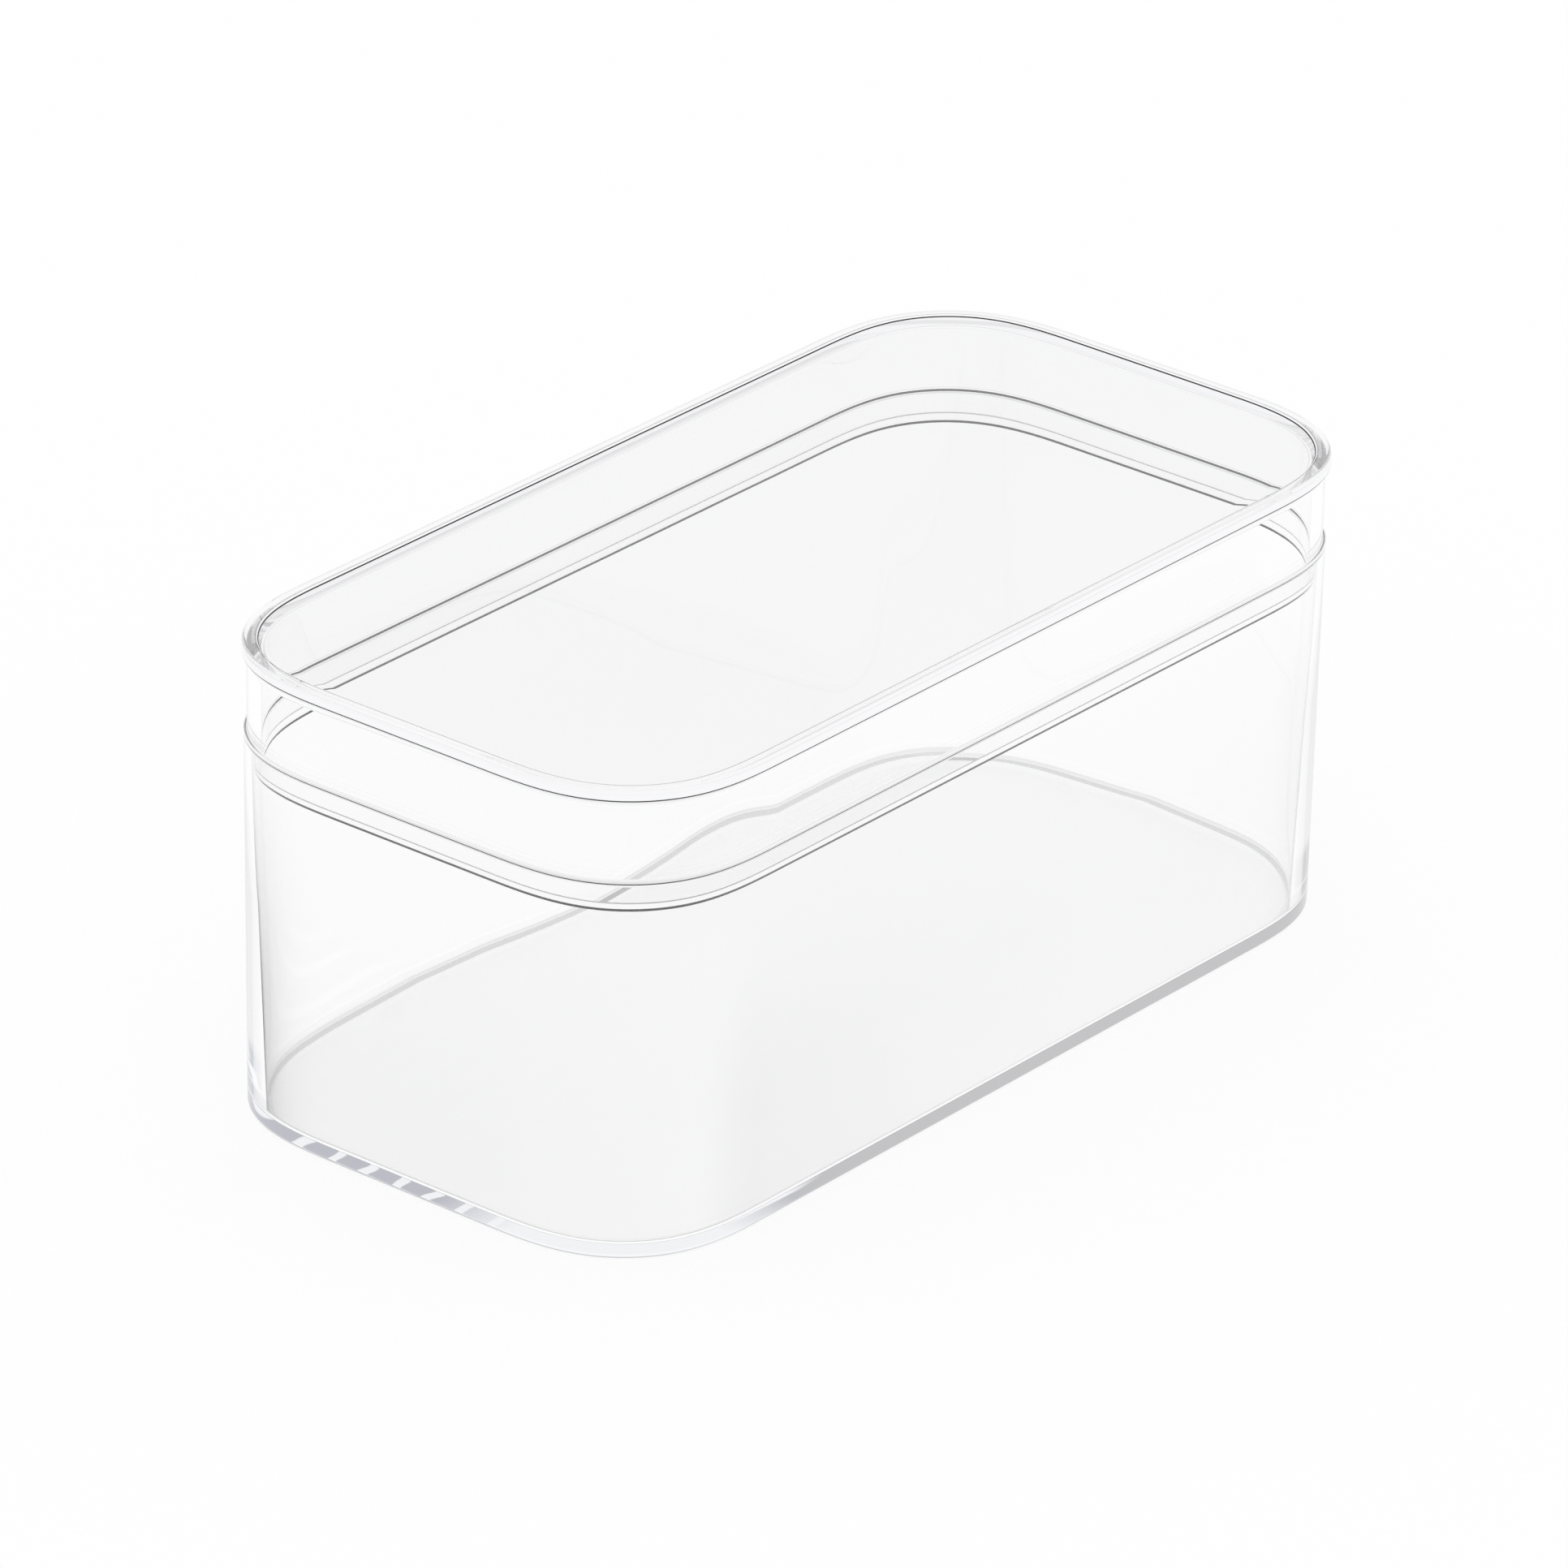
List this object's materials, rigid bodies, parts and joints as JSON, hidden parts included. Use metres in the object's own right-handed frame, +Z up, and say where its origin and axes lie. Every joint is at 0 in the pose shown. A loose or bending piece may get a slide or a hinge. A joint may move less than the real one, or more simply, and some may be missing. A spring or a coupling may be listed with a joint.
{
  "type": "clear storage box with lid",
  "caption": "Long clear moulded box with large rounded corners and a lift-off lid whose plug lip drops inside the box's wall.",
  "frame": {"origin": "middle of the box's underside, on the surface that it stands on", "axes": "+Z up, the way the lid lifts; +X along the box's length; +Y across it"},
  "size_m": [0.2, 0.102, 0.086],
  "materials": {
    "box_clear": "clear, polished",
    "lid_clear": "clear, polished"
  },
  "bodies": {
    "box": {"box": "box_clear"},
    "lid": {"lid": "lid_clear"}
  },
  "joints": [
    {"name": "lid_lift", "type": "slide", "parent": "box", "child": "lid", "axis": [0, 0, 1], "range_m": [0, 0.06]}
  ]
}
